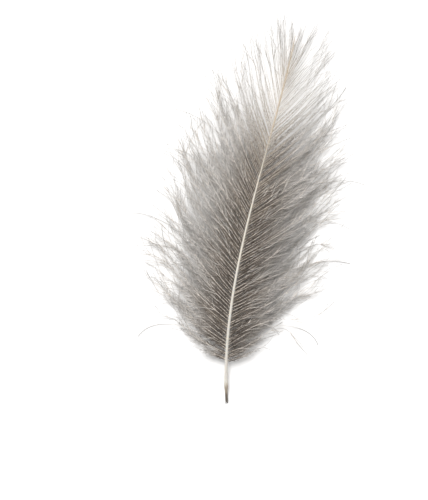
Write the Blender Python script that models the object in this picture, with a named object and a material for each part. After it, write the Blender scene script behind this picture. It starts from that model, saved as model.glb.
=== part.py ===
"""A cul de canard feather, the fluffy feather from around a duck's preen gland, lying on a table.

It lies with its arched side up. The quill and its barbs grew as one piece, so they are one solid:
a tapering quill with its shrunken end, the barbs gathered in locks that leave it on both sides, and
a few barbs that have worked loose and curl away from their locks.

Metres, +Z up. +Y runs from the quill's end to the barb tips, and the table is the plane Z = 0.
"""

import math

import bmesh
import bpy

# The whole feather
LENGTH = 0.0600  # from the quill's end to the tips of the last barbs
BOW = 0.00225  # how far the quill bends to the left of the line between its ends
ARCH = 0.0027  # how far the quill rises over the table at its highest
TIP_RISE = 0.0009  # how far the quill's thin end stays over the table
PRESSED = 0.00003  # how deep the quill's lowest edge is pressed flat on the table
SIDEWAYS = 0.00142  # sets the feather's width evenly about X = 0

# The quill: its radius at shares of the feather's length, with the shrunken end first
QUILL_RADII = (
    (0.000, 0.00016),
    (0.018, 0.00018),
    (0.034, 0.00017),
    (0.046, 0.00030),
    (0.060, 0.00029),
    (0.080, 0.00025),
    (0.125, 0.00022),
    (0.270, 0.00019),
    (0.400, 0.00016),
    (0.550, 0.00013),
    (0.700, 0.00011),
    (0.860, 0.00009),
)
QUILL_STEPS = 26
VANE_START = 0.125  # the share of the length at which the first barbs leave the quill
QUILL_END = 0.860  # the share at which the quill itself ends

# The locks of barbs, by their place from the lowest (0) to the highest (1) along the vane
LOCKS_A_SIDE = 30
LOCK_LENGTHS = ((0.0, 0.0128), (0.12, 0.0160), (0.3, 0.0180), (0.6, 0.0168), (0.85, 0.0134), (1.0, 0.0087))
LEAVING_ANGLES = ((0.0, 60), (0.3, 50), (0.6, 41), (0.85, 31), (1.0, 17))
END_ANGLES = ((0.0, 52), (0.3, 38), (0.6, 28), (0.85, 17), (1.0, 5))
LOCK_WIDTHS = ((0.0, 0.00130), (0.3, 0.00130), (0.6, 0.00105), (1.0, 0.00066))
LENGTH_SPREAD = 0.08  # how much the lengths of neighbours differ, as a share
ANGLE_SPREAD = 5  # how much their angles differ, in degrees
LOCK_DEPTH = 0.55  # a share of the lock's width
LOCK_SWELL = (0.55, 0.92, 1.00, 0.88, 0.60, 0.16)  # the lock's girth from root to tip
LOCK_RISE = 0.22  # the slope with which a lock leaves the quill, before it droops
LANDING = 0.80  # the share of a lock's length at which it has come down to its tip's height
TIP_LOW = 0.00006  # the height of the middle of a lock's tip, for locks that lie on the table
TIP_SPREAD = 0.0018  # how much higher the topmost of its neighbours end
TUFT_START = 0.84  # the share of the length at which the last locks leave, around the quill's end
TUFT_LENGTH = 0.0095
TUFT_ANGLES = (-11, -4, 3, 10)
TUFT_SPREAD = 0.0003  # how much higher each of them ends than the one before
GOLDEN = 0.618034  # steps of this share spread values evenly, with no two neighbours alike

# The loose barbs: side, place up the vane, leaving and end angles, curl at the tip (radians) and length
LOOSE_BARBS = (
    (-1, 0.03, 64, 80, 1.1, 0.0150),
    (-1, 0.13, 58, 58, -1.0, 0.0180),
    (-1, 0.26, 53, 64, 0.6, 0.0195),
    (-1, 0.41, 46, 42, -0.5, 0.0205),
    (-1, 0.57, 42, 52, 0.7, 0.0185),
    (1, 0.05, 62, 76, 1.4, 0.0155),
    (1, 0.11, 58, 62, -1.2, 0.0175),
    (1, 0.21, 54, 66, 0.5, 0.0190),
    (1, 0.34, 49, 47, -0.4, 0.0205),
    (1, 0.49, 45, 56, 0.8, 0.0190),
    (1, 0.66, 40, 30, -0.3, 0.0180),
)
LOOSE_WIDTH = 0.00034
LOOSE_SWELL = (1.0, 1.0, 0.95, 0.9, 0.82, 0.7, 0.55, 0.35)  # a loose barb's girth from root to tip

QUILL_COLOUR = (0.80, 0.74, 0.65, 1.0)
BARB_COLOUR = (0.30, 0.275, 0.26, 1.0)


def between(points, place):
    """The value at place on the straight runs between (place, value) points."""
    for (p0, v0), (p1, v1) in zip(points, points[1:]):
        if place <= p1:
            return v0 + (v1 - v0) * (place - p0) / (p1 - p0)
    return points[-1][1]


def quill_at(share):
    """The middle of the quill at a share of the feather's length."""
    bend = share * (1 - share) ** 2 * 27 / 4
    lift = math.sin(math.pi * share**0.85) ** 1.2
    return (
        SIDEWAYS + BOW / 2 - BOW * bend,
        LENGTH * (share - 0.5),
        QUILL_RADII[0][1] - PRESSED + ARCH * lift + TIP_RISE * share,
    )


def quill_heading(share):
    """The quill's direction seen from above, as an angle from +Y towards +X."""
    step = 0.005
    x0, y0, _ = quill_at(share - step)
    x1, y1, _ = quill_at(share + step)
    return math.atan2(x1 - x0, y1 - y0)


def lock_line(share, side, leaves, ends, curl, length, tip_height, steps):
    """The middle line of a lock: it bends or curls, seen from above, rises a little and droops to its tip."""
    x, y, root_z = quill_at(share)
    start = quill_heading(share) + side * leaves
    points = []
    for step in range(steps + 1):
        u = step / steps
        if step:
            halfway = (step - 0.5) / steps
            heading = start + side * ((ends - leaves) * halfway + curl * halfway**3)
            x += math.sin(heading) * length / steps
            y += math.cos(heading) * length / steps
        way_down = min(u / LANDING, 1)
        fallen = 3 * way_down**2 - 2 * way_down**3
        z = root_z + (tip_height - root_z) * fallen + LOCK_RISE * length * u * (1 - way_down) ** 2
        points.append((x, y, z))
    return points


def collection(name):
    made = bpy.data.collections.new(name)
    bpy.context.scene.collection.children.link(made)
    return made


def material(name, colour, roughness):
    made = bpy.data.materials.new(name)
    made.use_nodes = True
    shader = made.node_tree.nodes["Principled BSDF"]
    shader.inputs["Base Color"].default_value = colour
    shader.inputs["Roughness"].default_value = roughness
    shader.inputs["Metallic"].default_value = 0.0
    return made


def curve_object(name, lines, home):
    """A curve with a straight-run spline for each line of (x, y, z, radius) points."""
    data = bpy.data.curves.new(name, "CURVE")
    data.dimensions = "3D"
    data.twist_mode = "Z_UP"
    for line in lines:
        spline = data.splines.new("POLY")
        spline.points.add(len(line) - 1)
        for point, (x, y, z, radius) in zip(spline.points, line):
            point.co = (x, y, z, 1.0)
            point.radius = radius
    made = bpy.data.objects.new(name, data)
    home.objects.link(made)
    return made


def as_mesh(curve, home):
    """The curve's tube as a closed mesh object of the same name, in place of the curve."""
    graph = bpy.context.evaluated_depsgraph_get()
    mesh = bpy.data.meshes.new_from_object(curve.evaluated_get(graph))
    shape = bmesh.new()
    shape.from_mesh(mesh)
    bmesh.ops.remove_doubles(shape, verts=shape.verts, dist=1e-7)
    bmesh.ops.recalc_face_normals(shape, faces=shape.faces)
    shape.to_mesh(mesh)
    shape.free()
    name = curve.name
    data = curve.data
    bpy.data.objects.remove(curve)
    bpy.data.curves.remove(data)
    mesh.name = name
    made = bpy.data.objects.new(name, mesh)
    home.objects.link(made)
    return made


def make_quill(home, finish):
    """The round shaft, thinnest at the barb end, with the narrow shrunken stub at the other."""
    stub = [share for share, _ in QUILL_RADII if share < VANE_START]
    shaft = [VANE_START + (QUILL_END - VANE_START) * i / QUILL_STEPS for i in range(QUILL_STEPS + 1)]
    line = [(*quill_at(share), between(QUILL_RADII, share)) for share in stub + shaft]
    curve = curve_object("feather", [line], home)
    curve.data.bevel_depth = 1.0
    curve.data.bevel_resolution = 2
    curve.data.use_fill_caps = True
    bpy.context.view_layer.update()
    quill = as_mesh(curve, home)
    quill.data.materials.append(finish)
    return quill


def make_locks(home, finish):
    """The locks on both sides, the tuft at the end and the loose barbs, each a flat tapering blade."""
    corners = [math.radians(60 * number) for number in range(6)]
    section_line = [(math.cos(corner) / 2, math.sin(corner) / 2, 0, 1) for corner in corners]
    section = curve_object("lock_section", [section_line], home)
    section.data.splines[0].use_cyclic_u = True
    section.scale = (1.0, LOCK_DEPTH, 1.0)
    lines = []
    for index in range(LOCKS_A_SIDE):
        for side in (-1, 1):
            place = (index + 0.5 + 0.25 * side) / LOCKS_A_SIDE
            spread = (index * GOLDEN + 0.3 * (side > 0)) % 1
            share = VANE_START + (QUILL_END - VANE_START) * place
            leaves = math.radians(between(LEAVING_ANGLES, place) + ANGLE_SPREAD * (spread - 0.5))
            ends = math.radians(between(END_ANGLES, place) + ANGLE_SPREAD * (spread - 0.5))
            length = between(LOCK_LENGTHS, place) * (1 + LENGTH_SPREAD * (spread - 0.5))
            tip_height = TIP_LOW + TIP_SPREAD * spread**2
            line = lock_line(share, side, leaves, ends, 0, length, tip_height, len(LOCK_SWELL) - 1)
            lines.append((line, between(LOCK_WIDTHS, place), LOCK_SWELL))
    for number, angle in enumerate(TUFT_ANGLES):
        side = 1 if angle > 0 else -1
        leaves = math.radians(abs(angle))
        tip_height = TIP_LOW + TUFT_SPREAD * number
        line = lock_line(
            TUFT_START, side, leaves, leaves / 3, 0, TUFT_LENGTH, tip_height, len(LOCK_SWELL) - 1
        )
        lines.append((line, LOCK_WIDTHS[-1][1], LOCK_SWELL))
    for number, (side, place, leaves, ends, curl, length) in enumerate(LOOSE_BARBS):
        share = VANE_START + (QUILL_END - VANE_START) * place
        leaves, ends = math.radians(leaves), math.radians(ends)
        tip_height = TIP_LOW + TIP_SPREAD * (number * GOLDEN % 1) ** 2
        line = lock_line(share, side, leaves, ends, curl, length, tip_height, len(LOOSE_SWELL) - 1)
        lines.append((line, LOOSE_WIDTH, LOOSE_SWELL))
    curves = []
    for number, (line, width, swelling) in enumerate(lines):
        tapered = [(*point, width * swell) for point, swell in zip(line, swelling)]
        curve = curve_object(f"lock_{number + 1}", [tapered], home)
        curve.data.bevel_mode = "OBJECT"
        curve.data.bevel_object = section
        curve.data.use_fill_caps = True
        curves.append(curve)
    bpy.context.view_layer.update()
    locks = [as_mesh(curve, home) for curve in curves]
    for lock in locks:
        lock.data.materials.append(finish)
    bpy.data.objects.remove(section)
    return locks


def make_table(home):
    """A block whose top is the table, to press the underside flat where it lies."""
    bpy.ops.mesh.primitive_cube_add(size=1)
    block = bpy.context.object
    block.name = "table_top"
    block.scale = (2 * LENGTH, 2 * LENGTH, 0.01)
    block.location = (0, 0, -0.005)
    bpy.context.collection.objects.unlink(block)
    home.objects.link(block)
    return block


def join(feather, locks, table):
    """Fuses the locks to the quill, and presses the underside flat on the table."""
    union = feather.modifiers.new("fuse_locks", "BOOLEAN")
    union.operation = "UNION"
    union.operand_type = "COLLECTION"
    union.collection = locks
    union.solver = "EXACT"
    press = feather.modifiers.new("press_flat", "BOOLEAN")
    press.operation = "DIFFERENCE"
    press.object = table
    press.solver = "EXACT"


def main():
    for old in list(bpy.data.objects):
        bpy.data.objects.remove(old)
    parts = collection("cul_de_canard_feather")
    guides = collection("lock_guides")
    cutters = collection("cutters")
    feather = make_quill(parts, material("quill", QUILL_COLOUR, 0.45))
    make_locks(guides, material("barbs", BARB_COLOUR, 0.8))
    table = make_table(cutters)
    for helper in (guides, cutters):
        helper.hide_render = True
        for item in helper.objects:
            item.hide_render = True
            item.display_type = "WIRE"
    join(feather, guides, table)


main()
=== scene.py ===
"""The looks of a cul de canard feather: its quill, its barbs with their down, and the pale table it lies on.

Metres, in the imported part's frame: +Y from the quill's bare end to the barb tips, +Z up, the table at Z = 0.
"""
import math
import random

import bmesh
import bpy
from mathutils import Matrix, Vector, noise


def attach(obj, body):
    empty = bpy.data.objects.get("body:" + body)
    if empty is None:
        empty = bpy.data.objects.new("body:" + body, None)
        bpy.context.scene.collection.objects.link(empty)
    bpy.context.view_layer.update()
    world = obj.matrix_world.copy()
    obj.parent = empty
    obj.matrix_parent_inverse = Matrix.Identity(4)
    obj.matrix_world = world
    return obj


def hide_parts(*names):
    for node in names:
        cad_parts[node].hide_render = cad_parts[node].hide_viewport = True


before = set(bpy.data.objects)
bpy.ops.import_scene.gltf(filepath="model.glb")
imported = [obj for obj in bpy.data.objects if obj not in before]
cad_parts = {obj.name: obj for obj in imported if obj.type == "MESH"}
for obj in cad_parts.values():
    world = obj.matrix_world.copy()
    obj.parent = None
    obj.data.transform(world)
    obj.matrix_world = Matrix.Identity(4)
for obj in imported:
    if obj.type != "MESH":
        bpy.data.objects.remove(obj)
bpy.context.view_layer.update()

# The quill
# The shaft that the whole feather grew from, one hollow horny tube of dead keratin. It is ivory and
# faintly streaked along its length, and it tapers to nothing among the last barbs.
LENGTH = 0.0600  # from the quill's bare end to the tips of the last barbs
BOW = 0.00225  # how far the quill bends to the left of the line between its ends
ARCH = 0.0027  # how far it rises over the table at its highest
ARCH_PLACE = 0.85  # under 1, the highest place lies nearer to the bare end than to the tip
ARCH_ENDS = 1.2  # over 1, the arch starts and ends gently
TIP_RISE = 0.0009  # how far its thin end stays over the table
END_HEIGHT = 0.00016  # the height of its bare end's middle over the lowest edge that is pressed flat
PRESSED = 0.00003  # how deep that edge is pressed on the table
SIDEWAYS = 0.00142  # sets the feather's width evenly about X = 0
QUILL_RADII = (  # at shares of the length, with the shrunken end first
    (0.000, 0.00019),
    (0.018, 0.00020),
    (0.034, 0.00020),
    (0.041, 0.00029),
    (0.052, 0.00031),
    (0.060, 0.00028),
    (0.080, 0.00025),
    (0.125, 0.00023),
    (0.270, 0.00020),
    (0.400, 0.00016),
    (0.550, 0.00013),
    (0.700, 0.00012),
    (0.790, 0.00012),
    (0.860, 0.00010),
    (0.955, 0.00004),
)
QUILL_SIDES = 20
QUILL_STEP = 0.00028  # from ring to ring along the quill
AHEAD = 0.002  # the share of the length, either way, over which its direction is taken
DRIED_END = 0.045  # the share of the length up to which it dried and shrank
SQUASHED = 0.78  # the dried end is flatter than it is wide
RIM_END = 0.020  # the share of the length up to which the torn end's skin is drawn out ragged
RIM_RINGS = 10
RAGGED = 0.0007  # how far the torn rim's tongues and notches differ
TONGUES = 3  # the higher, the more of them there are
HOLLOW = 0.70  # the bore of the torn end, as a share of its radius
HOLLOW_END = 0.030  # the share of the length at which the bore ends
HOLLOW_RINGS = 6
GROOVE = 0.16  # the depth of the groove under the shaft, as a share of its radius
GROOVE_WIDTH = 0.5  # radians
GROOVE_RINGS = 60  # how many rings it takes to reach its full depth


def between(points, place):
    """The value at place on the straight runs between (place, value) points."""
    for (p0, v0), (p1, v1) in zip(points, points[1:]):
        if place <= p1:
            return v0 + (v1 - v0) * (place - p0) / (p1 - p0)
    return points[-1][1]


def quill_at(share):
    """The middle of the quill at a share of the feather's length."""
    bend = share * (1 - share) ** 2 * 27 / 4  # 1 at its most, a third of the way up
    lift = math.sin(math.pi * max(share, 0) ** ARCH_PLACE) ** ARCH_ENDS
    height = END_HEIGHT - PRESSED + ARCH * lift + TIP_RISE * share
    return Vector((SIDEWAYS + BOW / 2 - BOW * bend, LENGTH * (share - 0.5), height))


def add_node(tree, kind, inputs=(), **settings):
    """Adds a node with its settings and links. inputs has the sockets' values in turn, or by name or number.
    A value is plain, or the output that feeds the socket, or a node whose first output does."""
    made = tree.nodes.new(kind)
    for name, value in settings.items():
        setattr(made, name, value)
    for socket, value in (inputs.items() if isinstance(inputs, dict) else enumerate(inputs)):
        if isinstance(value, bpy.types.Node):
            value = value.outputs[0]
        if isinstance(value, bpy.types.NodeSocket):
            tree.links.new(value, made.inputs[socket])
        else:
            made.inputs[socket].default_value = value
    return made


def linear(code):
    """An sRGB hex colour as the linear colour that a shader takes."""
    parts = [int(code[i : i + 2], 16) / 255 for i in (1, 3, 5)]
    return (*(p / 12.92 if p <= 0.04045 else ((p + 0.055) / 1.055) ** 2.4 for p in parts), 1.0)


def draw_tones(ramp, tones):
    """Puts (place, sRGB hex colour) tones on a colour ramp."""
    while len(ramp.elements) < len(tones):
        ramp.elements.new(0.5)
    for stop, (position, code) in zip(ramp.elements, tones):
        stop.position = position
        stop.color = linear(code)


def new_piece(name, mesh):
    made = bpy.data.objects.new(name, mesh)
    bpy.context.scene.collection.objects.link(made)
    return made


def quill_ring(shape, shares, girth, groove):
    """A ring of points round the quill, with a share of the length and so a place of its own for each."""
    ring = []
    for side, share in enumerate(shares):
        angle = math.tau * side / QUILL_SIDES
        radius = between(QUILL_RADII, share) * girth
        dried = max(0, 1 - share / DRIED_END)
        along = (quill_at(share + AHEAD) - quill_at(share - AHEAD)).normalized()
        across = along.cross(Vector((0, 0, 1))).normalized()
        upward = across.cross(along)
        under = math.exp(-(((angle - 1.5 * math.pi) / GROOVE_WIDTH) ** 2))
        reach = radius * (1 - groove * GROOVE * under)
        high = reach * (1 - dried * (1 - SQUASHED))
        spot = quill_at(share) + across * reach * math.cos(angle) + upward * high * math.sin(angle)
        ring.append(shape.verts.new(spot))
    return ring


def bridge(shape, low, high, outward):
    """Joins two rings with a band of faces that point out of the quill, or into its bore."""
    for side in range(QUILL_SIDES):
        after = (side + 1) % QUILL_SIDES
        corners = [low[side], high[side], high[after], low[after]]
        shape.faces.new(corners if outward else corners[::-1])


torn = []
for side in range(QUILL_SIDES):
    angle = math.tau * side / QUILL_SIDES
    spot = Vector((TONGUES * math.cos(angle), TONGUES * math.sin(angle), 0.7))
    torn.append(RAGGED * (0.5 + noise.noise(spot)) / LENGTH)
shape = bmesh.new()
rings = []
for step in range(RIM_RINGS + 1):
    drawn = step / RIM_RINGS
    rings.append(quill_ring(shape, [rim + (RIM_END - rim) * drawn for rim in torn], 1, 0))
last_share = QUILL_RADII[-1][0]
ring_count = round((last_share - RIM_END) * LENGTH / QUILL_STEP)
for step in range(1, ring_count + 1):
    share = RIM_END + (last_share - RIM_END) * step / ring_count
    rings.append(quill_ring(shape, [share] * QUILL_SIDES, 1, min(1, step / GROOVE_RINGS)))
for low, high in zip(rings, rings[1:]):
    bridge(shape, low, high, True)
bore = []
for step in range(HOLLOW_RINGS + 1):
    shares = [rim + (HOLLOW_END - rim) * step / HOLLOW_RINGS for rim in torn]
    bore.append(quill_ring(shape, shares, HOLLOW, 0))
for low, high in zip(bore, bore[1:]):
    bridge(shape, low, high, False)
bridge(shape, rings[0], bore[0], False)
shape.faces.new(bore[-1])
shape.faces.new(rings[-1])
bmesh.ops.recalc_face_normals(shape, faces=shape.faces)
quill_mesh = bpy.data.meshes.new("quill")
shape.to_mesh(quill_mesh)
shape.free()
quill_mesh.shade_smooth()
quill = new_piece("quill", quill_mesh)

# Quill keratin: ivory horn that dried and shrank at its root, so it goes from a soft gloss through tan to a
# dull brown skin. The streaks are the fibres of the horn, about 0.03 mm wide and a few millimetres long.
STREAK = 0.00003
STREAK_LENGTH = 0.004
PATCHES = 1800  # to the metre: the tones' borders wander in patches of half a millimetre
PATCHY = 0.0012  # by up to about this far
END_SLOPE = -0.24  # how far the quill's last stretch runs to the side for its length
NOISE_ENDS = (0.3, 0.7)  # nearly all that a noise gives lies between these
STREAK_SHADES = (0.82, 1.06)
STREAK_ROUGHNESS = (0.34, 0.56)
STREAK_DEPTH = 0.00002
STREAK_BUMP = 0.35  # the share of that depth that shows
SIDE_SKIN_AND_SHADE = 0.42  # the dried end is darker at both sides as seen from above: partly its skin, seen edge on there, and partly painted shade of the tube's sides
EDGE = (0.00008, 0.00016)  # how far from the quill's middle that starts, and where it is full
DRY = (0.044, 0.038)  # the share of the length where that starts, and where it is full
HORN_TONES = (  # at shares of the length
    (0.000, "#4E443A"),
    (0.012, "#584E43"),
    (0.025, "#62574B"),
    (0.036, "#766A5C"),
    (0.041, "#8E8272"),
    (0.051, "#A09483"),
    (0.058, "#B4AA9A"),
    (0.066, "#CFCAC1"),
    (0.300, "#D3CEC4"),
    (0.540, "#CBC4B8"),
    (0.600, "#BDB5A8"),
    (0.660, "#ADA598"),
    (0.750, "#B8A995"),
    (0.930, "#BAAC98"),
)
horn = bpy.data.materials.new("Quill keratin")
horn.use_nodes = True
tree = horn.node_tree
shader = tree.nodes["Principled BSDF"]
shader.inputs["IOR"].default_value = 1.54
shader.inputs["Subsurface Weight"].default_value = 0.15
shader.inputs["Subsurface Radius"].default_value = (0.0003, 0.0002, 0.0001)
shader.inputs["Subsurface Scale"].default_value = 1.0
spot = add_node(tree, "ShaderNodeTexCoord").outputs["Object"]
parts = add_node(tree, "ShaderNodeSeparateXYZ", (spot,))
uneven = add_node(tree, "ShaderNodeTexNoise", {"Vector": spot, "Scale": PATCHES, "Detail": 3})
wander = add_node(tree, "ShaderNodeMath", (uneven, PATCHY), operation="MULTIPLY")
height = add_node(tree, "ShaderNodeMath", (parts.outputs["Y"], wander), operation="ADD")
from_end = add_node(
    tree, "ShaderNodeMapRange", {0: height, "From Min": -0.5 * LENGTH, "From Max": 0.5 * LENGTH}
)
tone = add_node(tree, "ShaderNodeValToRGB", (from_end,))
draw_tones(tone.color_ramp, HORN_TONES)
stretch = add_node(
    tree, "ShaderNodeMapping", {0: spot, "Scale": (1 / STREAK, 1 / STREAK_LENGTH, 1 / STREAK)}
)
streaks = add_node(tree, "ShaderNodeTexNoise", {"Vector": stretch, "Scale": 1.0, "Detail": 2})
shade = add_node(
    tree,
    "ShaderNodeMapRange",
    {
        0: streaks,
        "From Min": NOISE_ENDS[0],
        "From Max": NOISE_ENDS[1],
        "To Min": STREAK_SHADES[0],
        "To Max": STREAK_SHADES[1],
    },
)
# Painted shade at the dried end: darker at its two sides as seen from above, partly its skin seen edge on
# there.
across = add_node(tree, "ShaderNodeVectorMath", (spot, (1, -END_SLOPE, 0)), operation="DOT_PRODUCT")
middle = quill_at(0).x + END_SLOPE * LENGTH / 2
off_middle = add_node(tree, "ShaderNodeMath", (across.outputs["Value"], middle), operation="SUBTRACT")
off_middle = add_node(tree, "ShaderNodeMath", (off_middle,), operation="ABSOLUTE")
rim = add_node(
    tree,
    "ShaderNodeMapRange",
    {0: off_middle, "From Min": EDGE[0], "From Max": EDGE[1], "To Max": SIDE_SKIN_AND_SHADE},
)
dried = add_node(tree, "ShaderNodeMapRange", {0: from_end, "From Min": DRY[0], "From Max": DRY[1]})
darker = add_node(tree, "ShaderNodeMath", (rim, dried), operation="MULTIPLY")
shade = add_node(tree, "ShaderNodeMath", (shade, darker), operation="SUBTRACT")
colour = add_node(tree, "ShaderNodeVectorMath", (tone, shade), operation="MULTIPLY")
tree.links.new(colour.outputs[0], shader.inputs["Base Color"])
dull = add_node(
    tree, "ShaderNodeMapRange", {0: streaks, "To Min": STREAK_ROUGHNESS[0], "To Max": STREAK_ROUGHNESS[1]}
)
tree.links.new(dull.outputs[0], shader.inputs["Roughness"])
bump = add_node(
    tree, "ShaderNodeBump", {"Height": streaks, "Strength": STREAK_BUMP, "Distance": STREAK_DEPTH}
)
tree.links.new(bump.outputs[0], shader.inputs["Normal"])
quill_mesh.materials.append(horn)
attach(quill, "root")
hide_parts("feather")

# The barbs' lines
# Each barb is a soft side branch of the quill. It leaves at a slant, rises a little, and droops to the table
# among its neighbours. Near the quill the barbs lie side by side. Further out they swing, mostly together
# with those next to them, and some have worked loose and curl away from the rest.
VANE_START = 0.125  # the share of the length at which the first barbs leave the quill
VANE_END = 0.860
BARB_POINTS = 30
BARB_AHEAD = 0.005  # the share of the length, either way, over which the quill's direction is taken
WAVES = (  # radians that barbs swing to each side, by their place up the vane
    (0.0, 0.70),
    (0.14, 0.42),
    (0.3, 0.25),
    (0.6, 0.19),
    (1.0, 0.17),
)
WAVES_GROW = 1.5  # over 1, they swing little near the quill
TOGETHER = 0.80  # the part of the swing that neighbours share
DRIFT = 6.5  # how quickly what they share changes up the quill
SHARED_PACE = (1.1, 0.6)  # its swings along a barb: how many, and how far that differs
SHARED_START = 1.6  # how far the place where they start differs
OWN_PACES = (0.8, 2.0)  # the swings along a barb that are its own
HEAVING = 0.0012  # metres that a barb heaves up and down for each radian it swings
HEAVE_PACE = 1.3  # how many times as quickly it does so
HEAVES_GROW = 1.3  # over 1, it heaves little near the quill
BARB_RISE = 0.22  # the slope with which a barb leaves the quill, before it droops
LANDING = 0.80  # the share of a barb's length at which it has come down to its tip's height
TIP_LOW = 0.00010  # the height of the lowest tips
TIP_SPREAD = 0.0018  # how much higher the highest are
luck = random.Random(8)


def barb_line(share, side, leaves, ends, curl, length, tip_height, wave):
    """The points of a barb, which bends to its end angle, swings on the way, and rises and droops."""
    root = quill_at(share)
    ahead = quill_at(share + BARB_AHEAD) - quill_at(share - BARB_AHEAD)
    start = math.atan2(ahead.x, ahead.y) + side * leaves
    pace, phase, lift_phase = luck.uniform(*OWN_PACES), luck.random(), luck.random()
    # Two rows of noise up the quill, with its two sides far apart in them.
    near_by = [noise.noise(Vector((DRIFT * share, 4 * side, row))) for row in (0.3, 5.3)]
    shared_pace, shared_phase = SHARED_PACE[0] + SHARED_PACE[1] * near_by[0], SHARED_START * near_by[1]
    x, y = root.x, root.y
    points = []
    for step in range(BARB_POINTS):
        u = step / (BARB_POINTS - 1)
        if step:
            swing = TOGETHER * math.sin(math.tau * (shared_pace * u + shared_phase))
            swing = wave * u**WAVES_GROW * (swing + (1 - TOGETHER) * math.sin(math.tau * (pace * u + phase)))
            now = start + side * ((ends - leaves) * u + curl * u**3) + swing
            x += math.sin(now) * length / (BARB_POINTS - 1)
            y += math.cos(now) * length / (BARB_POINTS - 1)
        way_down = min(u / LANDING, 1)
        fallen = 3 * way_down**2 - 2 * way_down**3
        z = root.z + (tip_height - root.z) * fallen + BARB_RISE * length * u * (1 - way_down) ** 2
        z += HEAVING * wave * u**HEAVES_GROW * math.sin(math.tau * (HEAVE_PACE * pace * u + lift_phase))
        points.append((x, y, max(z, TIP_LOW)))
    return points


# The side hairs
# The longest barbules stand off a barb as hairs of their own, and make the feather's soft edge. Real ones
# are 0.01 mm thick, too fine to show, so they are drawn as coarse as a barb's outer part, and far fewer.
HAIRS_A_BARB = (  # by their barb's place up the vane
    (0.0, 10.0),
    (0.45, 9.0),
    (0.60, 5.0),
    (0.72, 2.2),
    (0.85, 1.4),
    (1.0, 1.0),
)
HAIR_POINTS = 12
HAIR_STARTS = (0.10, 0.92)  # the places along a barb where they leave it
HAIR_LEAVING = (6, 30)  # degrees
HAIR_LENGTHS = (0.0018, 0.0064)
HAIR_REACH = ((0.0, 1.16), (0.7, 1.16), (1.0, 0.96))  # how far from the quill at the most, in barb lengths
HAIR_TURNING = 42  # degrees that they typically bend, by the foot of the vane
HAIR_TURNS_BACK = 0.2  # radians that they bend back along their barb besides
HAIR_GIRTH = (  # the least radius that they taper to, by their barb's place up the vane
    (0.0, 0.000028),
    (0.50, 0.000024),
    (0.75, 0.000013),
    (1.0, 0.000009),
)
HAIR_TONE_START = 0.20  # they start with the tone and girth that barbs have at this place along them
HAIR_LIFT = 0.0005  # how high their humps are at the most
HAIR_HUMP = 1.4  # the length of such a hump, in hair lengths
STRAYS = 0.05  # the share of them that stray, longer and more bent
STRAYS_UP_TO = 0.6  # the place up the vane above which none do
STRAY_LENGTHS = (0.0045, 0.0090)
STRAY_REACH = 1.45
STRAY_TURNING = 1.2  # radians that they typically bend


def side_hairs(place, line, length, tone):
    """Long hairs that stand off a barb's line at both sides and bend back or away."""
    hairs = []
    for number in range(int(between(HAIRS_A_BARB, place) + luck.random())):
        u = luck.uniform(*HAIR_STARTS)
        first = round(u * (BARB_POINTS - 1))
        x, y, z = line[first]
        before = line[first - 1]
        way = math.atan2(x - before[0], y - before[1])
        which = 1 if luck.random() < 0.5 else -1
        now = way + which * math.radians(luck.uniform(*HAIR_LEAVING))
        if luck.random() < STRAYS and place < STRAYS_UP_TO:
            own = min(luck.uniform(*STRAY_LENGTHS), (STRAY_REACH - u) * length)
            turning = luck.gauss(0, STRAY_TURNING)
        else:
            own = min(luck.uniform(*HAIR_LENGTHS), (between(HAIR_REACH, place) - u) * length)
            turning = math.radians(luck.gauss(0, HAIR_TURNING)) - HAIR_TURNS_BACK * which
        turning *= between(WAVES, place) / WAVES[0][1]
        landing = line[min(round((u + own / length) * (BARB_POINTS - 1)), BARB_POINTS - 1)][2]
        lift = luck.uniform(0, HAIR_LIFT)
        hair = []
        for step in range(HAIR_POINTS):
            part = step / (HAIR_POINTS - 1)
            if step:
                now += turning / (HAIR_POINTS - 1)
                x += math.sin(now) * own / (HAIR_POINTS - 1)
                y += math.cos(now) * own / (HAIR_POINTS - 1)
            high = z + (landing - z) * part + lift * math.sin(math.pi * part / HAIR_HUMP)
            hair.append((x, y, max(high, TIP_LOW)))
        hairs.append((place, hair, (0, 0, 0), between(HAIR_GIRTH, place), tone, HAIR_TONE_START))
    return hairs


# The two sides of the vane
# A hundred barbs a side from the foot to the tip, a few that have worked loose, short downy ones at the foot,
# and the tuft round the quill's end. Angles are in degrees from the quill, and lengths and girths in metres.
BARBS_A_SIDE = 100
CROWDING = 0.22  # how much closer than on average they stand at the tip, and wider apart at the foot
PLACE_JITTER = 0.24  # how far a barb is off its even place, in spacings
LOCKS_A_SIDE = 30  # barbs lie in locks, whose lengths and angles differ
LOCK_SHIFT = 0.25  # how far each side's locks are off their even places, in locks
GOLDEN = 0.618034  # steps of this share spread values evenly, with no two neighbours alike
RIGHT_STEP = 0.3  # the step by which the right side's values differ from the left side's
BARB_LENGTHS = ((0.0, 0.0128), (0.12, 0.0160), (0.3, 0.0180), (0.6, 0.0168), (0.85, 0.0136), (1.0, 0.0092))
LENGTHENED = 1.03  # the scene's barbs as a share of those lengths
LENGTH_SPREAD = 0.08  # how much the lengths of locks differ
OWN_LENGTHS = 0.05  # how much those of barbs typically differ
BARE_LENGTHS = 0.18  # how much longer the barest barbs are than the fluffiest
LEAVING_ANGLES = ((0.0, 60), (0.3, 50), (0.6, 41), (0.85, 30), (1.0, 17))
END_ANGLES = ((0.0, 52), (0.3, 38), (0.6, 28), (0.85, 22), (1.0, 13))
ANGLE_SPREAD = 1.5  # how much the angles of locks differ
GATHERING = 0.6  # how much a lock's outer barbs end turned to its middle
LEAVING_SPREAD = 1.6  # how much the angles at which barbs leave typically differ
FOOT_SPREAD = 5  # how much more they do at the foot
FOOT = 0.08  # the place up the vane where that ends
WANDERING = ((0.0, 6.0), (0.2, 3.0), (0.5, 2.2), (1.0, 3.8))  # how much end angles typically differ
OWN_WAVES = (0.3, 1.3)  # a barb's own share of the swing
SHARE_OF_LOCK = 0.4  # the part of a tip's height that follows its lock; luck gives the rest
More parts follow.
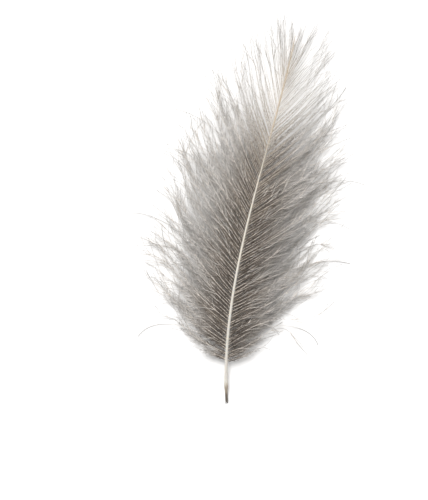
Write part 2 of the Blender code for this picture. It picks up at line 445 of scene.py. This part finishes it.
CURLY = ((0.0, 0.26), (0.2, 0.12), (0.5, 0.05), (1.0, 0.0))  # the share of barbs that end in a curl
CURLS = (0.12, 0.9)  # radians that the tips of the others, and of these, typically turn
CURLY_LENGTHS = (1.0, 1.15)  # how many times as long these are
CURLY_WAVES = 1.5  # how many times as far they swing
CURLY_FLUFF_END = 0.55  # the place along them where their fluff ends
FLUFF = (  # the length of the barbules, by their barb's place up the vane
    (0.0, 1.25),
    (0.3, 1.12),
    (0.5, 0.92),
    (0.62, 0.68),
    (0.72, 0.42),
    (0.8, 0.22),
    (0.88, 0.10),
    (1.0, 0.05),
)
FLUFF_KEPT = ((0.0, 0.80), (0.5, 0.76), (0.65, 0.58), (0.8, 0.42), (1.0, 0.32))  # in a barb's outer half
OUTER_HALF = 0.45  # where along a barb that starts
FLUFF_SPREAD = 0.28  # how much that differs from barb to barb, either way
FLUFF_ENDS = (0.76, 1.06)  # the place along a barb where its fluff ends and it goes on as a bare hair
FLUFF_FADE = 0.34  # the stretch before it over which the fluff thins out
LAST_FLUFF = 0.5  # what is left of the barbules' length at its end
DOWN_DENSITY = ((0.0, 1.0), (0.3, 1.0), (0.5, 0.88), (0.68, 0.62), (0.85, 0.34), (1.0, 0.15))  # along a barb
LEAST_DENSITY = 0.35  # added to the fluff, so that short down isn't sparse too
GREYS = 0.5  # how far the barbs' own tones differ
TAN = (  # how far their tone is drawn to tan, by their place up the vane
    (0.0, 0.0),
    (0.3, 0.02),
    (0.45, 0.09),
    (0.55, 0.17),
    (0.68, 0.34),
    (0.8, 0.48),
    (1.0, 0.50),
)
BARB_GIRTHS = (  # the radius along a barb
    (0.0, 0.000056),
    (0.12, 0.000048),
    (0.3, 0.000042),
    (0.5, 0.000031),
    (0.8, 0.000027),
    (1.0, 0.000016),
)
LAST_GIRTHS = ((0.0, 0.000031), (0.5, 0.000028), (0.8, 0.000021), (1.0, 0.000011))  # the same near the tip
LAST_SHARE = ((0.0, 0.0), (0.5, 0.0), (0.85, 1.0), (1.0, 1.0))  # how far a barb's girth is drawn to those
LOOSE_BARBS = (  # side, place up the vane, leaving and end angles, curl at the tip (radians) and length
    (-1, 0.03, 64, 80, 1.1, 0.0150),
    (-1, 0.13, 58, 58, -1.0, 0.0180),
    (-1, 0.26, 53, 64, 0.6, 0.0195),
    (-1, 0.41, 46, 42, -0.5, 0.0205),
    (-1, 0.57, 42, 52, 0.7, 0.0185),
    (1, 0.05, 62, 76, 1.4, 0.0155),
    (1, 0.11, 58, 62, -1.2, 0.0175),
    (1, 0.21, 54, 66, 0.5, 0.0190),
    (1, 0.34, 49, 47, -0.4, 0.0205),
    (1, 0.49, 45, 56, 0.8, 0.0190),
    (1, 0.66, 40, 30, -0.3, 0.0180),
)
LOOSE_GIRTH = 0.000042  # a loose barb is a bare thread to its end
LOOSE_WAVE = 0.12  # radians that it swings
LOOSE_FLUFF = (0.15, 0.5)  # what is left of its fluff, and where that ends
LOOSE_TONE = 0.35
FOOT_BARBS = 4  # short downy ones right under the vane, on each side
FOOT_SPACING = 0.004  # the share of the length from one to the next
FOOT_LEAVING = (58, 78)  # the angles at which they leave, and end
FOOT_ENDS = (35, 95)
FOOT_LENGTHS = (0.0045, 0.0095)
FOOT_CURL = 0.5  # radians that their tips typically turn, and that they swing
FOOT_WAVE = 0.3
FOOT_FLUFF = (0.8, 0.6, 0.85)  # near the quill, far out, and where it ends
FOOT_GREYS = 0.3
TUFT_BARBS = 26
TUFT_START = 0.800  # the share of the length at which the last barbs start to leave
TUFT_END = 0.935
TUFT_FAN = (4, 21)  # the angles at which they leave to each side
TUFT_CLOSES = 3  # they end at that angle divided by this
TUFT_LENGTHS = (0.72, 1.12)  # as shares of what is left of the feather's length
TUFT_HEIGHT = 0.0006  # how far over the lowest tips theirs typically end
TUFT_CURL = 0.1  # radians that their tips typically turn, and that they swing
TUFT_WAVE = 0.06


def side_barbs(side):
    """Each barb and side hair of one side, from the foot up: its place up the vane, its line, its fluff near
    the quill and far out and where that ends, its least girth, its tone, and where that tone starts."""
    barbs = []
    for number in range(BARBS_A_SIDE):
        place = (number + 0.5 + luck.uniform(-PLACE_JITTER, PLACE_JITTER)) / BARBS_A_SIDE
        place *= 1 + CROWDING * (1 - place)
        slot = place * LOCKS_A_SIDE - LOCK_SHIFT * side
        lock = min(max(math.floor(slot), 0), LOCKS_A_SIDE - 1)
        off_middle = slot - lock - 0.5
        spread = (lock * GOLDEN + RIGHT_STEP * (side > 0)) % 1
        curly = luck.random() < between(CURLY, place)
        turned = ANGLE_SPREAD * (spread - 0.5)
        leaves = between(LEAVING_ANGLES, place) + turned
        leaves += luck.gauss(0, LEAVING_SPREAD + FOOT_SPREAD * max(0, 1 - place / FOOT))
        ends = between(END_ANGLES, place) + turned + GATHERING * off_middle
        ends += luck.gauss(0, between(WANDERING, place))
        bare = luck.random()
        length = LENGTHENED + LENGTH_SPREAD * (spread - 0.5) + luck.gauss(0, OWN_LENGTHS)
        length += BARE_LENGTHS * (bare - 0.5)
        if curly:
            bare = 1.0
            length *= luck.uniform(*CURLY_LENGTHS)
        length *= between(BARB_LENGTHS, place)
        line = barb_line(
            VANE_START + (VANE_END - VANE_START) * place,
            side,
            math.radians(leaves),
            math.radians(ends),
            luck.gauss(0, CURLS[curly]),
            length,
            TIP_LOW + TIP_SPREAD * (SHARE_OF_LOCK * spread**2 + (1 - SHARE_OF_LOCK) * luck.random() ** 2),
            between(WAVES, place) * luck.uniform(*OWN_WAVES) * (CURLY_WAVES if curly else 1),
        )
        near = between(FLUFF, place)
        far = near * between(FLUFF_KEPT, place) * (1 + FLUFF_SPREAD * (1 - 2 * bare))
        fluff_end = CURLY_FLUFF_END if curly else luck.uniform(*FLUFF_ENDS)
        tone = GREYS * luck.random() + between(TAN, place)
        barbs.append((place, line, (near, far, fluff_end), 0, tone, 0))
        barbs += side_hairs(place, line, length, tone)
    for number, (loose_side, place, leaves, ends, curl, length) in enumerate(LOOSE_BARBS):
        if loose_side == side:
            share = VANE_START + (VANE_END - VANE_START) * place
            tip_height = TIP_LOW + TIP_SPREAD * (number * GOLDEN % 1) ** 2
            leaves, ends = math.radians(leaves), math.radians(ends)
            line = barb_line(share, side, leaves, ends, curl, length, tip_height, LOOSE_WAVE)
            fluff = between(FLUFF, place)
            fluffs = (fluff, LOOSE_FLUFF[0] * fluff, LOOSE_FLUFF[1])
            barbs.append((place, line, fluffs, LOOSE_GIRTH, LOOSE_TONE, 0))
    for number in range(FOOT_BARBS):
        share = VANE_START - FOOT_SPACING * (number + luck.random())
        leaves, ends = math.radians(luck.uniform(*FOOT_LEAVING)), math.radians(luck.uniform(*FOOT_ENDS))
        tip_height = TIP_LOW + TIP_SPREAD * luck.random()
        length = luck.uniform(*FOOT_LENGTHS)
        line = barb_line(share, side, leaves, ends, luck.gauss(0, FOOT_CURL), length, tip_height, FOOT_WAVE)
        barbs.append((0.0, line, FOOT_FLUFF, 0, FOOT_GREYS * luck.random(), 0))
    for number in range(TUFT_BARBS // 2):
        share = TUFT_START + (TUFT_END - TUFT_START) * (number + luck.random()) / (TUFT_BARBS // 2)
        fan = math.radians(luck.uniform(*TUFT_FAN))
        length = (1 - share) * LENGTH * luck.uniform(*TUFT_LENGTHS)
        tip_height = TIP_LOW + abs(luck.gauss(0, TUFT_HEIGHT))
        ends, curl = fan / TUFT_CLOSES, luck.gauss(0, TUFT_CURL)
        line = barb_line(share, side, fan, ends, curl, length, tip_height, TUFT_WAVE)
        fluff = FLUFF[-1][1] * FLUFF_KEPT[-1][1]
        barbs.append((1.0, line, (fluff, fluff, 1.0), 0, GREYS * luck.random() + TAN[-1][1], 0))
    return barbs


def barbs_mesh(name, barbs):
    """Loose edges along the barbs, with what the barbs' shape and colour need kept at each point."""
    points, edges, along, thick, downy, dense, tones = [], [], [], [], [], [], []
    for place, line, (near, far, fluff_end), girth, tone, tone_start in barbs:
        for step, point in enumerate(line):
            u = tone_start + (1 - tone_start) * step / (len(line) - 1)
            if step:
                edges.append((len(points) - 1, len(points)))
            points.append(point)
            along.append(u)
            drawn = between(LAST_SHARE, place)
            own_girth = (1 - drawn) * between(BARB_GIRTHS, u) + drawn * between(LAST_GIRTHS, u)
            thick.append(max(own_girth, girth))
            fluff = near + (far - near) * min(u / OUTER_HALF, 1)
            left = min(max((fluff_end - u) / FLUFF_FADE, 0), 1)
            downy.append(fluff * (LAST_FLUFF + (1 - LAST_FLUFF) * left))
            dense.append(between(DOWN_DENSITY, u) * (LEAST_DENSITY + fluff) * left)
            tones.append(tone)
    mesh = bpy.data.meshes.new(name)
    mesh.from_pydata(points, edges, [])
    kept = {"along": along, "thick": thick, "fluff": downy, "dense": dense, "tone": tones}
    for attribute, values in kept.items():
        mesh.attributes.new(attribute, "FLOAT", "POINT").data.foreach_set("value", values)
    return mesh


# Barb and down keratin
# The same dead protein as the quill, without its gloss: grey from pigment, palest where it is thickest, with a
# tan tint by the quill and towards the tip. The down is darkest by the quill, where it lies thickest under the
# barbs: that is painted shade. Across the map lies each barb's own tone, from grey to tan, barbs left and down
# right, and up it the way from the quill to the barb's tip.
MAP = "OFBake"
TONE_WIDTH = 0.47  # of the map, for the barbs and for the down
TAN_FROM = (0.4, 0.95)  # the stretch of that width over which grey turns to tan
BARB_TONES = ((0.0, "#E6D9CA"), (0.15, "#DFD5C9"), (0.45, "#D3CEC8"), (0.7, "#BCB8B3"), (1.0, "#A19D98"))
TAN_BARB_TONES = ((0.0, "#BDAE98"), (0.2, "#BBB0A2"), (0.45, "#ADA8A2"), (1.0, "#A5A09C"))
DOWN_TONES = (  # darkest by the quill, where it lies thickest under the barbs: painted shade
    (0.0, "#544B43"),
    (0.12, "#786E65"),
    (0.25, "#A69E96"),
    (0.42, "#D2CECA"),
    (0.6, "#E2DFDC"),
    (1.0, "#E2E0DD"),
)
# Painted shade here too: the tan down is darkest by the quill.
TAN_DOWN_TONES = ((0.0, "#A99A87"), (0.2, "#BEB3A6"), (0.45, "#D5D0CB"), (1.0, "#E0DEDB"))
TONES_ACROSS = 60  # steps of tone that the map holds from side to side
TONES_UP = 3  # and from the quill to the barbs' tips
LIGHTER = 0.55  # how much lighter a tone can get, as a share of how much darker it can


def keratin(name, grey_tones, tan_tones, map_start, roughness, depth):
    """Dull keratin whose tone follows the map, and differs by up to depth from barb to barb."""
    made = bpy.data.materials.new(name)
    made.use_nodes = True
    tree = made.node_tree
    shader = tree.nodes["Principled BSDF"]
    shader.inputs["IOR"].default_value = 1.54
    shader.inputs["Roughness"].default_value = roughness
    shader.inputs["Specular IOR Level"].default_value = 0.3
    spot = add_node(tree, "ShaderNodeUVMap", uv_map=MAP)
    parts = add_node(tree, "ShaderNodeSeparateXYZ", (spot,))
    grey, tan = (map_start + share * TONE_WIDTH for share in TAN_FROM)
    tan_share = add_node(
        tree, "ShaderNodeMapRange", {0: parts.outputs["X"], "From Min": grey, "From Max": tan}
    )
    ramps = []
    for tones in (grey_tones, tan_tones):
        ramps.append(add_node(tree, "ShaderNodeValToRGB", (parts.outputs["Y"],)))
        draw_tones(ramps[-1].color_ramp, tones)
    mixed = add_node(tree, "ShaderNodeMix", {0: tan_share, 6: ramps[0], 7: ramps[1]}, data_type="RGBA")
    drawn = add_node(tree, "ShaderNodeMapping", {0: spot, "Scale": (TONES_ACROSS, TONES_UP, 1.0)})
    varied = add_node(tree, "ShaderNodeTexNoise", {"Vector": drawn, "Scale": 1.0, "Detail": 1})
    shade = add_node(
        tree,
        "ShaderNodeMapRange",
        {
            0: varied,
            "From Min": NOISE_ENDS[0],
            "From Max": NOISE_ENDS[1],
            "To Min": 1 - depth,
            "To Max": 1 + LIGHTER * depth,
        },
    )
    colour = add_node(tree, "ShaderNodeVectorMath", (mixed.outputs[2], shade), operation="MULTIPLY")
    tree.links.new(colour.outputs[0], shader.inputs["Base Color"])
    return made


BARB_MAP_START = 0.0
DOWN_MAP_START = 0.51
barb_keratin = keratin(
    "Barb keratin", BARB_TONES, TAN_BARB_TONES, BARB_MAP_START, roughness=0.5, depth=0.30
)
down_keratin = keratin(
    "Down keratin", DOWN_TONES, TAN_DOWN_TONES, DOWN_MAP_START, roughness=0.65, depth=0.60
)

# A barbule
# The finest branch: a soft filament that stands off a barb like the hairs of a plume. Real ones are 0.01 mm
# thick, too fine to show, so these are drawn about four times as coarse, a few of them more, and fewer. It is
# one thin three-sided spindle of unit height, which the plumes below scale, bend and repeat.
shape = bmesh.new()
foot = shape.verts.new((0, 0, 0))
waist = [shape.verts.new((math.cos(a), math.sin(a), 0.5)) for a in (0, math.tau / 3, 2 * math.tau / 3)]
point = shape.verts.new((0, 0, 1))
for number in range(3):
    after = (number + 1) % 3
    shape.faces.new((waist[number], waist[after], point))
    shape.faces.new((waist[after], waist[number], foot))
barbule_mesh = bpy.data.meshes.new("barbule")
shape.to_mesh(barbule_mesh)
shape.free()
for kept, values in (("across", (0.5, 0.0, 0.5, 1.0, 0.5)), ("up", (0.0, 0.5, 0.5, 0.5, 1.0))):
    barbule_mesh.attributes.new(kept, "FLOAT", "POINT").data.foreach_set("value", values)
barbule = new_piece("barbule", barbule_mesh)

# The plumes
# Barbs as thin tapering stems, with barbules along both sides and underneath them, leaning to the tip. The
# down is short and close by the quill, longest half way out and short again at the tip.
BARBULE_LENGTH = 0.00112
BARBULE_THICKNESS = 0.0000185  # the radius of its waist
BARBULE_SPACING = 0.0000160
BARBULE_LENGTHS = (  # by the place along a barb
    (0.0, 0.55),
    (0.12, 0.85),
    (0.3, 1.0),
    (0.5, 1.0),
    (0.7, 0.85),
    (0.85, 0.62),
    (1.0, 0.35),
)
OWN_BARBULE_LENGTHS = (0.55, 1.25)  # how many times as long each is
STOUTNESS = (0.6, 2.0)  # the thinnest, and how much thicker the few thickest are
STOUT_FEW = 3.0  # the higher, the fewer of them are thick
BARBULE_BEND = (-0.20, 0.32)  # how far its middle bends out, as a share of its length
BARBULE_SAG = (-0.12, 0.16)  # the same, down and up
LEAN = math.radians(45)  # how far a barbule leans out from its barb
BARBULE_LEANS = ((0.0, 0.50), (0.2, 0.60), (0.5, 0.72), (0.8, 0.78), (1.0, 0.7))  # shares of it
OWN_LEANS = (0.7, 1.35)  # how many times as far each leans
LIFTS = (math.radians(-80), math.radians(-5))  # from under a barb to beside it, by the quill
RAISED = ((0.0, 0.0), (0.12, 0.05), (0.4, 0.9), (0.7, 1.0), (1.0, 1.0))  # further out they stand above it too
RAISED_BY = math.radians(36)
PAINTED_SHADE_UNDER = 0.20  # painted shade under a barb: how much nearer to the quill's dark down the tone of a barbule right under it is
OWN_TONES = 0.05  # how far a barbule's tone is off its barb's, either way
MAP_ACROSS = 0.012  # the part of the map that one barb or barbule takes up from side to side
MAP_UP = (0.97, 0.02)  # the way out along the barb, and the way up the barbule
TABLE_GAP = 0.000008  # nothing lies lower over the table
KEPT = {  # what the lines and barbules keep while the plumes grow from them
    "along": "FLOAT",
    "thick": "FLOAT",
    "fluff": "FLOAT",
    "dense": "FLOAT",
    "tone": "FLOAT",
    "across": "FLOAT",
    "up": "FLOAT",
    "own_tone": "FLOAT",
    "own_out": "FLOAT",
    "own_bend": "FLOAT_VECTOR",
}

plume = bpy.data.node_groups.new("Plume", "GeometryNodeTree")
for name, kind, value in (
    ("Geometry", "NodeSocketGeometry", None),
    ("Barbule", "NodeSocketObject", None),
    ("Barbule length", "NodeSocketFloat", BARBULE_LENGTH),
    ("Barbule thickness", "NodeSocketFloat", BARBULE_THICKNESS),
    ("Barbule spacing", "NodeSocketFloat", BARBULE_SPACING),
    ("Lean", "NodeSocketFloat", LEAN),
    ("Seed", "NodeSocketInt", 1),
    ("Barb material", "NodeSocketMaterial", None),
    ("Down material", "NodeSocketMaterial", None),
):
    socket = plume.interface.new_socket(name, in_out="INPUT", socket_type=kind)
    if value is not None:
        socket.default_value = value
plume.interface.new_socket("Geometry", in_out="OUTPUT", socket_type="NodeSocketGeometry")
given = add_node(plume, "NodeGroupInput").outputs
read = {
    name: add_node(plume, "GeometryNodeInputNamedAttribute", {"Name": name}, data_type=kind)
    for name, kind in KEPT.items()
}


def with_map(geometry, tone, out):
    """Keeps the map: each barb's tone from side to side, and the way out along the barb upwards."""
    aside = add_node(plume, "ShaderNodeMath", (read["across"], MAP_ACROSS), operation="MULTIPLY")
    x = add_node(plume, "ShaderNodeMath", (tone, aside), operation="ADD")
    far = add_node(plume, "ShaderNodeMath", (out, MAP_UP[0]), operation="MULTIPLY")
    farther = add_node(plume, "ShaderNodeMath", (read["up"], MAP_UP[1]), operation="MULTIPLY")
    y = add_node(plume, "ShaderNodeMath", (far, farther), operation="ADD")
    spot = add_node(plume, "ShaderNodeCombineXYZ", (x, y))
    return add_node(
        plume,
        "GeometryNodeStoreNamedAttribute",
        {"Geometry": geometry, "Name": MAP, "Value": spot},
        data_type="FLOAT2",
        domain="CORNER",
    )


# The stems, three-sided and as thick as their lines say
lines = add_node(plume, "GeometryNodeMeshToCurve", (given["Geometry"],))
section = add_node(plume, "GeometryNodeCurvePrimitiveCircle", {"Resolution": 3, "Radius": 1.0})
round_it = add_node(plume, "GeometryNodeSplineParameter").outputs["Factor"]
section = add_node(
    plume,
    "GeometryNodeStoreNamedAttribute",
    {"Geometry": section, "Name": "across", "Value": round_it},
    data_type="FLOAT",
    domain="POINT",
)
stems = add_node(
    plume,
    "GeometryNodeCurveToMesh",
    {"Curve": lines, "Profile Curve": section, "Scale": read["thick"], "Fill Caps": True},
)
stem_tone = add_node(plume, "ShaderNodeMath", (read["tone"], TONE_WIDTH), operation="MULTIPLY")
stems = with_map(stems, stem_tone, read["along"])
stems = add_node(plume, "GeometryNodeSetMaterial", {0: stems, "Material": given["Barb material"]})

# What changes along a barb, and the luck of each barbule
drawn = []
for points in (RAISED, BARBULE_LEANS, BARBULE_LENGTHS):
    drawn.append(add_node(plume, "ShaderNodeFloatCurve", {"Value": read["along"]}))
    curve = drawn[-1].mapping.curves[0]
    for x, y in points[1:-1]:
        curve.points.new(x, y)
    curve.points[0].location = points[0]
    curve.points[-1].location = points[-1]
    drawn[-1].mapping.update()
raised, leans, lengths = drawn
highest = add_node(plume, "ShaderNodeMath", (raised, RAISED_BY), operation="MULTIPLY")
highest = add_node(plume, "ShaderNodeMath", (LIFTS[1], highest), operation="ADD")
chances = {}
for name, low, high in (
    ("side", -1, 1),
    ("lift", LIFTS[0], highest),
    ("lean", *OWN_LEANS),
    ("length", *OWN_BARBULE_LENGTHS),
    ("tone", -OWN_TONES, OWN_TONES),
    ("left out", 0, 1),
    ("stout", 0, 1),
    ("bend", *BARBULE_BEND),
    ("sag", *BARBULE_SAG),
):
    own_seed = add_node(plume, "ShaderNodeMath", (given["Seed"], len(chances) + 1), operation="ADD")
    chances[name] = add_node(
        plume, "FunctionNodeRandomValue", {2: low, 3: high, "Seed": own_seed}, data_type="FLOAT"
    ).outputs[1]

# Where the barbules stand, and which way: to one side, hanging or raised, and leaning to the barb's tip
spots = add_node(
    plume, "GeometryNodeCurveToPoints", {0: lines, "Length": given["Barbule spacing"]}, mode="LENGTH"
)
bare = add_node(plume, "ShaderNodeMath", (chances["left out"], read["dense"]), operation="GREATER_THAN")
thinned = add_node(plume, "GeometryNodeDeleteGeometry", {0: spots.outputs["Points"], "Selection": bare})
ahead = spots.outputs["Tangent"]
sideways = add_node(plume, "ShaderNodeVectorMath", (ahead, (0, 0, 1)), operation="CROSS_PRODUCT")
sideways = add_node(plume, "ShaderNodeVectorMath", (sideways,), operation="NORMALIZE")
upward = add_node(plume, "ShaderNodeVectorMath", (sideways, ahead), operation="CROSS_PRODUCT")
which = add_node(plume, "ShaderNodeMath", (chances["side"],), operation="SIGN")
beside = add_node(plume, "ShaderNodeMath", (chances["lift"],), operation="COSINE")
beside = add_node(plume, "ShaderNodeMath", (which, beside), operation="MULTIPLY")
above = add_node(plume, "ShaderNodeMath", (chances["lift"],), operation="SINE")
out = add_node(
    plume,
    "ShaderNodeVectorMath",
    (
        add_node(plume, "ShaderNodeVectorMath", {0: sideways, "Scale": beside}, operation="SCALE"),
        add_node(plume, "ShaderNodeVectorMath", {0: upward, "Scale": above}, operation="SCALE"),
    ),
    operation="ADD",
)
lean = given["Lean"]
for factor in (leans, chances["lean"]):
    lean = add_node(plume, "ShaderNodeMath", (lean, factor), operation="MULTIPLY")
onward = add_node(plume, "ShaderNodeMath", (lean,), operation="COSINE")
outward = add_node(plume, "ShaderNodeMath", (lean,), operation="SINE")
heading = add_node(
    plume,
    "ShaderNodeVectorMath",
    (
        add_node(plume, "ShaderNodeVectorMath", {0: ahead, "Scale": onward}, operation="SCALE"),
        add_node(plume, "ShaderNodeVectorMath", {0: out, "Scale": outward}, operation="SCALE"),
    ),
    operation="ADD",
)
turned = add_node(
    plume, "FunctionNodeAxesToRotation", (heading, ahead), primary_axis="Z", secondary_axis="X"
)

# How long and stout they are
long = given["Barbule length"]
for factor in (lengths, read["fluff"], chances["length"]):
    long = add_node(plume, "ShaderNodeMath", (long, factor), operation="MULTIPLY")
stout = add_node(plume, "ShaderNodeMath", (chances["stout"], STOUT_FEW), operation="POWER")
stout = add_node(plume, "ShaderNodeMath", (stout, STOUTNESS[1], STOUTNESS[0]), operation="MULTIPLY_ADD")
thick = add_node(plume, "ShaderNodeMath", (given["Barbule thickness"], stout), operation="MULTIPLY")
size = add_node(plume, "ShaderNodeCombineXYZ", (thick, thick, long))
spike = add_node(plume, "GeometryNodeObjectInfo", {"Object": given["Barbule"]}).outputs["Geometry"]
down = add_node(
    plume,
    "GeometryNodeInstanceOnPoints",
    {"Points": thinned, "Instance": spike, "Rotation": turned, "Scale": size},
)

# What each keeps for itself: its tone, its place out along the barb, moved towards the quill's dark down to
# paint shade on those under the barb, and how it bends
own_tone = add_node(plume, "ShaderNodeMath", (read["tone"], chances["tone"]), operation="ADD")
# Painted shade: a barbule that hangs under its barb takes the darker tone of down nearer the quill.
under = add_node(plume, "ShaderNodeMath", (above, -1.0), operation="MULTIPLY")
under = add_node(plume, "ShaderNodeMath", (under, 0.0), operation="MAXIMUM")
darker = add_node(plume, "ShaderNodeMath", (under, PAINTED_SHADE_UNDER), operation="MULTIPLY")
own_out = add_node(plume, "ShaderNodeMath", (read["along"], darker), operation="SUBTRACT")
own_out = add_node(plume, "ShaderNodeMath", (own_out, 0.0), operation="MAXIMUM")
own_bend = add_node(plume, "ShaderNodeVectorMath", (heading, ahead), operation="CROSS_PRODUCT")
own_bend = add_node(plume, "ShaderNodeVectorMath", (own_bend,), operation="NORMALIZE")
own_bend = add_node(plume, "ShaderNodeVectorMath", {0: own_bend, "Scale": long}, operation="SCALE")
own_bend = add_node(plume, "ShaderNodeVectorMath", (heading, own_bend), operation="CROSS_PRODUCT")
own_bend = add_node(
    plume, "ShaderNodeVectorMath", {0: own_bend, "Scale": chances["bend"]}, operation="SCALE"
)
sag = add_node(plume, "ShaderNodeMath", (long, chances["sag"]), operation="MULTIPLY")
sag = add_node(plume, "ShaderNodeVectorMath", {0: upward, "Scale": sag}, operation="SCALE")
own_bend = add_node(plume, "ShaderNodeVectorMath", (own_bend, sag), operation="ADD")
for name, value in (("own_tone", own_tone), ("own_out", own_out), ("own_bend", own_bend)):
    down = add_node(
        plume,
        "GeometryNodeStoreNamedAttribute",
        {"Geometry": down, "Name": name, "Value": value},
        data_type=KEPT[name],
        domain="INSTANCE",
    )
down = add_node(plume, "GeometryNodeRealizeInstances", (down,))

# The bend, full at a barbule's waist, then its tone, and nothing under the table
bulge = add_node(plume, "ShaderNodeMath", (read["up"], 4.0), operation="MULTIPLY")
to_point = add_node(plume, "ShaderNodeMath", (1.0, read["up"]), operation="SUBTRACT")
bulge = add_node(plume, "ShaderNodeMath", (bulge, to_point), operation="MULTIPLY")
bent = add_node(plume, "ShaderNodeVectorMath", {0: read["own_bend"], "Scale": bulge}, operation="SCALE")
down = add_node(plume, "GeometryNodeSetPosition", {0: down, "Offset": bent})
down_tone = add_node(plume, "ShaderNodeClamp", {"Value": read["own_tone"]})
down_tone = add_node(plume, "ShaderNodeMath", (down_tone, TONE_WIDTH), operation="MULTIPLY")
down_tone = add_node(plume, "ShaderNodeMath", (down_tone, DOWN_MAP_START), operation="ADD")
down = with_map(down, down_tone, read["own_out"])
down = add_node(plume, "GeometryNodeSetMaterial", {0: down, "Material": given["Down material"]})
whole = add_node(plume, "GeometryNodeJoinGeometry")
plume.links.new(down.outputs[0], whole.inputs[0])
plume.links.new(stems.outputs[0], whole.inputs[0])
here = add_node(plume, "ShaderNodeSeparateXYZ", (add_node(plume, "GeometryNodeInputPosition"),))
held_up = add_node(plume, "ShaderNodeMath", (here.outputs["Z"], TABLE_GAP), operation="MAXIMUM")
over_table = add_node(plume, "ShaderNodeCombineXYZ", (here.outputs["X"], here.outputs["Y"], held_up))
laid = add_node(plume, "GeometryNodeSetPosition", {0: whole, "Position": over_table})
add_node(plume, "NodeGroupOutput", (laid,))


def grow_plumes(name, barbs, seed):
    """Grows the barbs and their down along the lines, as one plain mesh."""
    lines = new_piece(name + "_lines", barbs_mesh(name + "_lines", barbs))
    grown = lines.modifiers.new("plumes", "NODES")
    grown.node_group = plume
    inputs = {
        "Barbule": barbule,
        "Seed": seed,
        "Barb material": barb_keratin,
        "Down material": down_keratin,
    }
    for item in plume.interface.items_tree:
        if item.in_out == "INPUT" and item.name in inputs:
            grown[item.identifier] = inputs[item.name]
    graph = bpy.context.evaluated_depsgraph_get()
    mesh = bpy.data.meshes.new_from_object(lines.evaluated_get(graph))
    for kept in KEPT:
        if kept in mesh.attributes:
            mesh.attributes.remove(mesh.attributes[kept])
    bpy.data.objects.remove(lines)
    mesh.name = name
    return new_piece(name, mesh)


ZONES = (("low", 0.0, 0.27), ("middle", 0.27, 0.56), ("high", 0.56, 1.01))
for side_name, side in (("left", -1), ("right", 1)):
    barbs = side_barbs(side)
    for number, (zone, start, end) in enumerate(ZONES):
        chosen = [barb for barb in barbs if start <= barb[0] < end]
        piece = grow_plumes(f"{side_name}_{zone}_barbs", chosen, 10 * number + (side > 0))
        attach(piece, "root")
        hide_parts("feather")
bpy.data.objects.remove(barbule)

# The table
# A board with a smooth, matt, near-white coat. The feather only lies on it, and it isn't part of the feather.
board = bpy.data.materials.new("Matt white board")
board.use_nodes = True
shader = board.node_tree.nodes["Principled BSDF"]
shader.inputs["Base Color"].default_value = linear("#F4F3F2")
shader.inputs["Roughness"].default_value = 0.9
bpy.ops.mesh.primitive_plane_add(size=1.2)
table = bpy.context.object
table.name = "table"
table.data.materials.append(board)

# The light
# A wide soft box above the feather's tip, to the left, gives the soft shadows. The white room around it
# fills them.
world = bpy.data.worlds.new("White room")
bpy.context.scene.world = world
world.use_nodes = True
world.node_tree.nodes["Background"].inputs["Color"].default_value = (1, 1, 1, 1)
world.node_tree.nodes["Background"].inputs["Strength"].default_value = 0.62
lamp_data = bpy.data.lights.new("soft box", "AREA")
lamp_data.shape = "SQUARE"
lamp_data.size = 0.30
lamp_data.energy = 2.6
lamp = bpy.data.objects.new("soft box", lamp_data)
bpy.context.scene.collection.objects.link(lamp)
lamp.location = (-0.16, 0.22, 0.40)
lamp.rotation_euler = (-lamp.location).to_track_quat("-Z", "Y").to_euler()

# The camera
# It looks straight down, turned so that the feather lies in the picture as it does in the photograph, and
# from so far off that a pixel covers as much of it.
PIXEL = 0.000152  # metres on the feather
PICTURE = (428, 500)
QUILL_END_PIXEL = (227, 405.5)
TIP_PIXEL = (299, 18)
FEATHER_HEIGHT = 0.002
LENS = 100.0
across, down_page = (tip - end for tip, end in zip(TIP_PIXEL, QUILL_END_PIXEL))
roll = math.atan2(across, -down_page)
right = Vector((math.cos(roll), math.sin(roll), 0))
page_up = Vector((-math.sin(roll), math.cos(roll), 0))
end_x = quill_at(0).x
middle = (
    Vector((end_x, -LENGTH / 2, 0))
    + right * (PICTURE[0] / 2 - QUILL_END_PIXEL[0]) * PIXEL
    + page_up * (QUILL_END_PIXEL[1] - PICTURE[1] / 2) * PIXEL
)
camera_data = bpy.data.cameras.new("camera")
camera_data.lens = LENS
camera = bpy.data.objects.new("camera", camera_data)
bpy.context.scene.collection.objects.link(camera)
distance = PICTURE[1] * PIXEL * LENS / camera_data.sensor_width
camera.location = middle + Vector((0, 0, FEATHER_HEIGHT + distance))
camera.rotation_euler = (0, 0, roll)
camera_data.clip_start = 0.01
bpy.context.scene.camera = camera
bpy.context.scene.view_settings.view_transform = "Standard"
